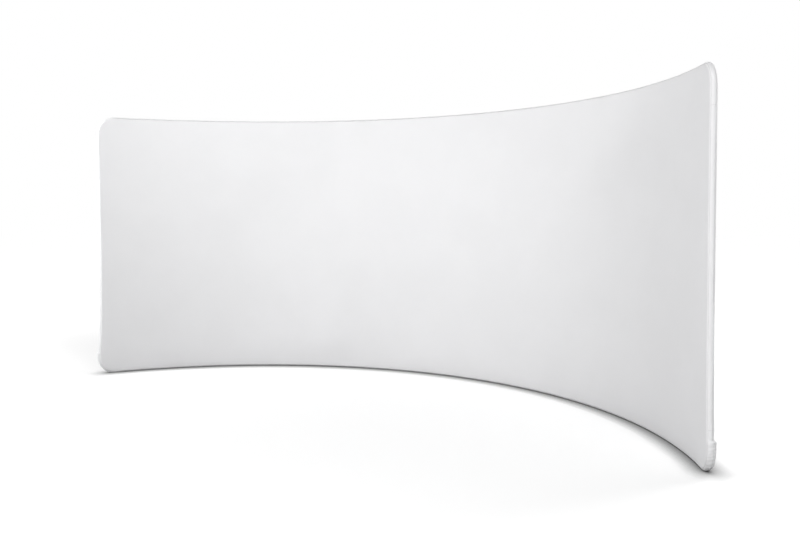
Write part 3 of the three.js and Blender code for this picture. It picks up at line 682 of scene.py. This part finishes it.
def plastic_material():
    """Black moulded nylon with a fine spark-eroded grain."""
    s = Shader("nylon_black", (0.04, 0.04, 0.045), 0.55)
    grain = s.noise(1400.0)
    s.bump(grain, 0.00008, 0.35)
    s.roughness(s.vary(grain, 0.50, 0.64))
    s.tint(s.vary(s.noise(30.0, 2.0), 0.85, 1.1))
    return s.material


def metal_material(name, color, roughness, grain):
    """Bright metal with fine polishing lines and small scuffs."""
    s = Shader(name, color, roughness, 1.0)
    lines = s.noise(grain, 4.0, (1, 1, 12))
    scuffs = s.ramp(s.noise(180.0, 5.0), 0.55, 0.68)
    s.roughness(s.plus(s.vary(lines, roughness - 0.06, roughness + 0.04), s.times(scuffs, 0.12)))
    s.tint(s.vary(lines, 0.92, 1.0))
    s.bump(lines, 0.00003, 0.25)
    return s.material


fabric = cloth_material("stretch_knit", (0.86, 0.86, 0.87), 0.0012)
tape_weave = cloth_material("zip_tape_weave", (0.82, 0.82, 0.83), 0.0007)
coil = coil_material()
tube = tube_material()
plastic = plastic_material()
spring_steel = metal_material("spring_steel_brushed", (0.60, 0.60, 0.61), 0.30, 500.0)
zip_metal = metal_material("nickel_plate", (0.75, 0.75, 0.76), 0.20, 700.0)

# ---- The pieces ----
front_cloth = panel("front_cloth", False, fabric)
back_cloth = panel("back_cloth", True, fabric)
bands = {
    "top_edge_band": rail_band("top", fabric),
    "bottom_edge_band": rail_band("bottom", fabric),
    "left_edge_band": end_band("left", fabric),
    "right_edge_band": end_band("right", fabric),
}
half_chain = ZIP_CHAIN_WIDTH / 2 + ZIP_GAP / 2
tape_reach = ZIP_SLOT / 2 + TAPE_UNDER
lower_tape = zip_tape("zip_weave_lower", ZIP_HEIGHT - half_chain, ZIP_HEIGHT - tape_reach, tape_weave)
upper_tape = zip_tape("zip_weave_upper", ZIP_HEIGHT + half_chain, ZIP_HEIGHT + tape_reach, tape_weave)
teeth = zip_chain(coil)

covers = {
    front_cloth: "front_cover",
    back_cloth: "back_cover",
    lower_tape: "zip_tape_lower",
    upper_tape: "zip_tape_upper",
    **{piece: node for node, piece in bands.items()},
}
for piece, node in covers.items():
    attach(piece, "frame")
    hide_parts(node)
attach(teeth, "frame")
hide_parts("zip_chain")

# ---- Finishes of the solids, by the first of these words that their names hold ----
FINISHES = {
    "snap_button": spring_steel,
    "tee": plastic,
    "zip_stop": zip_metal,
    "zip_slider": zip_metal,
    "zip_pull": zip_metal,
    "rail": tube,
    "corner_bend": tube,
    "end_tube": tube,
    "upright": tube,
}
BEVELS = {"zip_slider": 0.0005, "zip_pull": 0.0004, "zip_stop": 0.0004, "tee": 0.0008}
BEVEL_SEGMENTS = 3
for name, node in frame["nodes"].items():
    if name in covers.values() or name == "zip_chain":
        continue
    kind = next(key for key in FINISHES if key in name)
    node.data.materials.clear()
    node.data.materials.append(FINISHES[kind])
    if kind in BEVELS:
        bevel = node.modifiers.new("soft_edges", "BEVEL")
        bevel.width = BEVELS[kind]
        bevel.segments = BEVEL_SEGMENTS
        bevel.limit_method = "ANGLE"


# ---- Floor and light ----
def floor():
    """Pale floor with painted shade, darker where the wall's foot shuts out the light from round about, and
    plain white to the eye far away.
    """
    bpy.ops.mesh.primitive_plane_add(size=FLOOR_SIZE)
    plane = bpy.context.object
    plane.name = "floor"
    s = Shader("floor_pale", (FLOOR_ALBEDO,) * 3, 0.9)
    s.main.inputs["Specular IOR Level"].default_value = 0.0
    # painted shade: ambient occlusion from the wall's foot darkens the floor's colour
    foot = s.nodes.new("ShaderNodeAmbientOcclusion")
    foot.samples = FOOT_SAMPLES
    foot.inputs["Distance"].default_value = PAINTED_SHADE_REACH
    shade = s.math("POWER", foot.outputs["AO"], PAINTED_SHADE_DEPTH)
    s.tint(shade)
    length = s.nodes.new("ShaderNodeVectorMath")
    length.operation = "LENGTH"
    s.links.new(s.place(), length.inputs[0])
    # the painted shade darkens the floor's glow to the eye as well
    glow = s.times(s.ramp(length.outputs["Value"], *GLOW_FROM_TO, FLOOR_GLOW, 1.0), shade)
    s.main.inputs["Emission Color"].default_value = (1, 1, 1, 1)
    s.links.new(s.times(glow, seen_ray(s.nodes, s.links)), s.main.inputs["Emission Strength"])
    plane.data.materials.append(s.material)


def seen_ray(nodes, links):
    """1 for rays from the camera, and for those that show the background in metal or glass."""
    path = nodes.new("ShaderNodeLightPath")
    value = path.outputs["Is Camera Ray"]
    for name in ("Is Glossy Ray", "Is Transmission Ray"):
        node = nodes.new("ShaderNodeMath")
        node.operation = "MAXIMUM"
        links.new(value, node.inputs[0])
        links.new(path.outputs[name], node.inputs[1])
        value = node.outputs[0]
    return value


def world(strength):
    """A background that is white to the eye and lights the scene by the given strength."""
    w = bpy.data.worlds.new("studio")
    bpy.context.scene.world = w
    w.use_nodes = True
    nodes, links = w.node_tree.nodes, w.node_tree.links
    background = nodes["Background"]
    background.inputs["Color"].default_value = (1, 1, 1, 1)
    mix = nodes.new("ShaderNodeMix")
    mix.data_type = "FLOAT"
    links.new(seen_ray(nodes, links), mix.inputs["Factor"])
    mix.inputs["A"].default_value = strength
    mix.inputs["B"].default_value = 1.0
    links.new(mix.outputs["Result"], background.inputs["Strength"])


def area_light(name, at, to, size, power):
    lamp = bpy.data.lights.new(name, "AREA")
    lamp.shape = "RECTANGLE"
    lamp.size, lamp.size_y = size
    lamp.energy = power
    light = bpy.data.objects.new(name, lamp)
    bpy.context.scene.collection.objects.link(light)
    light.location = at
    light.rotation_euler = (Vector(to) - Vector(at)).to_track_quat("-Z", "Y").to_euler()


floor()
world(AMBIENT)
for lamp_name, lamp in LAMPS.items():
    area_light(lamp_name, *lamp)

bpy.context.scene.view_settings.view_transform = "Standard"
